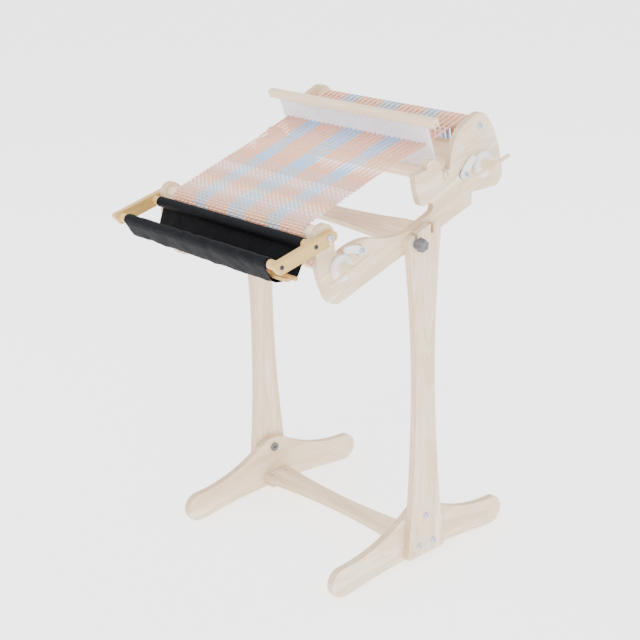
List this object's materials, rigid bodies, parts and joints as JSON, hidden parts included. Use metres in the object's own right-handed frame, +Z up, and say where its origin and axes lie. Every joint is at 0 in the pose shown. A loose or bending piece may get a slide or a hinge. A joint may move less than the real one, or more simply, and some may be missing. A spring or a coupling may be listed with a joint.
{
  "type": "rigid heddle loom on floor stand",
  "caption": "Tabletop rigid heddle loom tilted on a trestle floor stand, with striped warp, part-woven cloth and a black cloth pouch hung at its front.",
  "frame": {"origin": "middle of the bounding box at floor level", "axes": "+Z up; +X across the loom to the weaver's right; -Y towards the weaver"},
  "size_m": [0.5176, 0.5776, 0.8523],
  "materials": {
    "maple_ply": "pale satin maple plywood with visible layers on its edges",
    "maple": "pale satin solid maple",
    "oiled_maple": "satin, warmer oiled maple",
    "zinc_steel": "bright zinc",
    "black_steel": "black oxide",
    "black_plastic": "satin moulded",
    "white_nylon": "satin moulded",
    "reed_plastic": "satin moulded",
    "warp_yarn": "coral and blue cotton yarn",
    "woven_cloth": "plain weave and basket weave cotton",
    "black_canvas": "tight matt canvas"
  },
  "bodies": {
    "stand": {"left_foot": "maple_ply", "right_foot": "maple_ply", "left_upright": "maple_ply", "right_upright": "maple_ply", "stretcher": "maple_ply", "stretcher_cleats": "maple_ply", "stretcher_screws": "zinc_steel", "upright_bolts": "zinc_steel", "foot_nuts": "black_plastic"},
    "loom": {"left_side_frame": "maple_ply", "right_side_frame": "maple_ply", "front_beam": "maple", "back_beam": "maple", "bottom_brace": "maple_ply", "back_brace": "maple_ply", "tilt_spacers": "maple_ply", "back_beam_bolts": "zinc_steel", "hanging_bolts": "zinc_steel", "pawl_discs": "black_plastic", "pawl_bolts": "zinc_steel", "warp_front": "warp_yarn", "warp_back": "warp_yarn", "cloth": "woven_cloth"},
    "left_tilt_knob": {"left_knob": "black_plastic", "left_knob_bolt": "zinc_steel"},
    "right_tilt_knob": {"right_knob": "black_plastic", "right_knob_bolt": "zinc_steel"},
    "cloth_beam": {"cloth_roller": "maple", "cloth_ratchet": "white_nylon", "cloth_handle": "maple", "cloth_roll": "woven_cloth"},
    "warp_beam": {"warp_roller": "maple", "warp_ratchet": "white_nylon", "warp_handle": "maple", "warp_roll": "warp_yarn"},
    "cloth_pawl": {"cloth_pawl": "white_nylon"},
    "warp_pawl": {"warp_pawl": "white_nylon"},
    "heddle": {"low_rail": "maple", "high_rail": "maple", "reed": "reed_plastic"},
    "pouch": {"left_arm": "oiled_maple", "right_arm": "oiled_maple", "back_pouch_dowel": "oiled_maple", "front_pouch_dowel": "oiled_maple", "arm_screws": "black_steel", "pouch_fabric": "black_canvas"},
    "shuttle": {"shuttle": "oiled_maple"}
  },
  "joints": [
    {"name": "loom_tilt", "type": "hinge", "parent": "stand", "child": "loom", "pos_m": [0, 0.0343, 0.641], "axis": [1, 0, 0], "range_deg": [-18, 20]},
    {"name": "left_knob_turn", "type": "hinge", "parent": "loom", "child": "left_tilt_knob", "pos_m": [-0.23, 0.0343, 0.641], "axis": [1, 0, 0], "continuous": true},
    {"name": "right_knob_turn", "type": "hinge", "parent": "loom", "child": "right_tilt_knob", "pos_m": [0.23, 0.0343, 0.641], "axis": [1, 0, 0], "continuous": true},
    {"name": "cloth_beam_turn", "type": "hinge", "parent": "loom", "child": "cloth_beam", "pos_m": [0, -0.1342, 0.63271], "axis": [1, 0, 0], "continuous": true},
    {"name": "warp_beam_turn", "type": "hinge", "parent": "loom", "child": "warp_beam", "pos_m": [0, 0.22388, 0.7474], "axis": [1, 0, 0], "continuous": true},
    {"name": "cloth_pawl_lift", "type": "hinge", "parent": "loom", "child": "cloth_pawl", "pos_m": [0.2228, -0.08794, 0.65382], "axis": [-1, 0, 0], "range_deg": [0, 40]},
    {"name": "warp_pawl_lift", "type": "hinge", "parent": "loom", "child": "warp_pawl", "pos_m": [0.2228, 0.17396, 0.73771], "axis": [1, 0, 0], "range_deg": [0, 40]},
    {"name": "heddle_lift", "type": "slide", "parent": "loom", "child": "heddle", "axis": [0, -0.305, 0.9523], "range_m": [0, 0.03]},
    {"name": "pouch_lift", "type": "hinge", "parent": "loom", "child": "pouch", "pos_m": [0, -0.16557, 0.69459], "axis": [-1, 0, 0], "range_deg": [0, 45]},
    {"name": "shuttle_slide", "type": "slide", "parent": "pouch", "child": "shuttle", "axis": [1, 0, 0], "range_m": [0, 0.15]}
  ]
}
